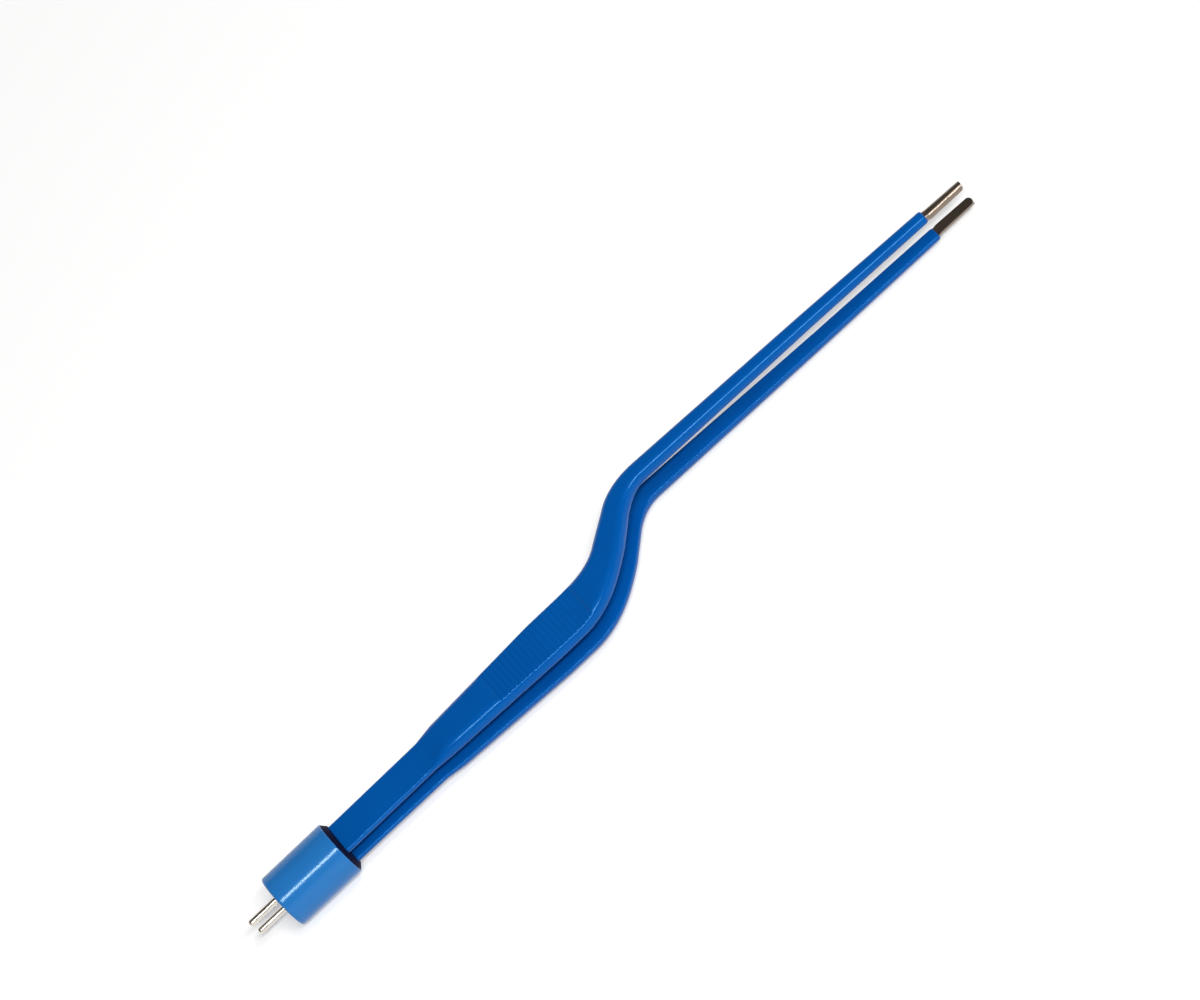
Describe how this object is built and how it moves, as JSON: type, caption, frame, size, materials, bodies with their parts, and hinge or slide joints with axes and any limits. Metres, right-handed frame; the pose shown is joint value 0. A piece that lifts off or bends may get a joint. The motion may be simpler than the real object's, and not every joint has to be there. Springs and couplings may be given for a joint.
{
  "type": "bipolar forceps",
  "caption": "Bayonet forceps with two insulated sprung arms, serrated grips, bare tips and a round plug with contact pins.",
  "frame": {"origin": "centre of the plug's rear face, between the two contact pins", "axes": "+X along the plug's axis to the tips, +Y the side that the tips are offset to, +Z the way the upper arm opens"},
  "size_m": [0.2046, 0.023, 0.0124],
  "materials": {
    "plug_plastic": "moulded, semi-gloss",
    "potting_resin": "cast, dull",
    "spacer_plastic": "moulded",
    "contact_metal": "plated and polished",
    "blade_steel": "satin",
    "blue_coat": "dipped, glossy"
  },
  "bodies": {
    "plug": {"plug_housing": "plug_plastic", "potting": "potting_resin", "tail_spacer": "spacer_plastic", "upper_contact_pin": "contact_metal", "lower_contact_pin": "contact_metal"},
    "upper_arm": {"upper_blade": "blade_steel", "upper_coating": "blue_coat"},
    "lower_arm": {"lower_blade": "blade_steel", "lower_coating": "blue_coat"}
  },
  "joints": [
    {"name": "upper_arm_flex", "type": "hinge", "parent": "plug", "child": "upper_arm", "pos_m": [0.011, 0, 0.00212], "axis": [0, 1, 0], "range_deg": [0, 0.813], "stiffness_Nm_per_rad": 7.5},
    {"name": "lower_arm_flex", "type": "hinge", "parent": "plug", "child": "lower_arm", "pos_m": [0.011, 0, -0.00212], "axis": [0, -1, 0], "range_deg": [0, 0.813], "stiffness_Nm_per_rad": 7.5}
  ],
  "couplings": [
    {"joint": "lower_arm_flex", "follows": "upper_arm_flex", "ratio": 1}
  ]
}
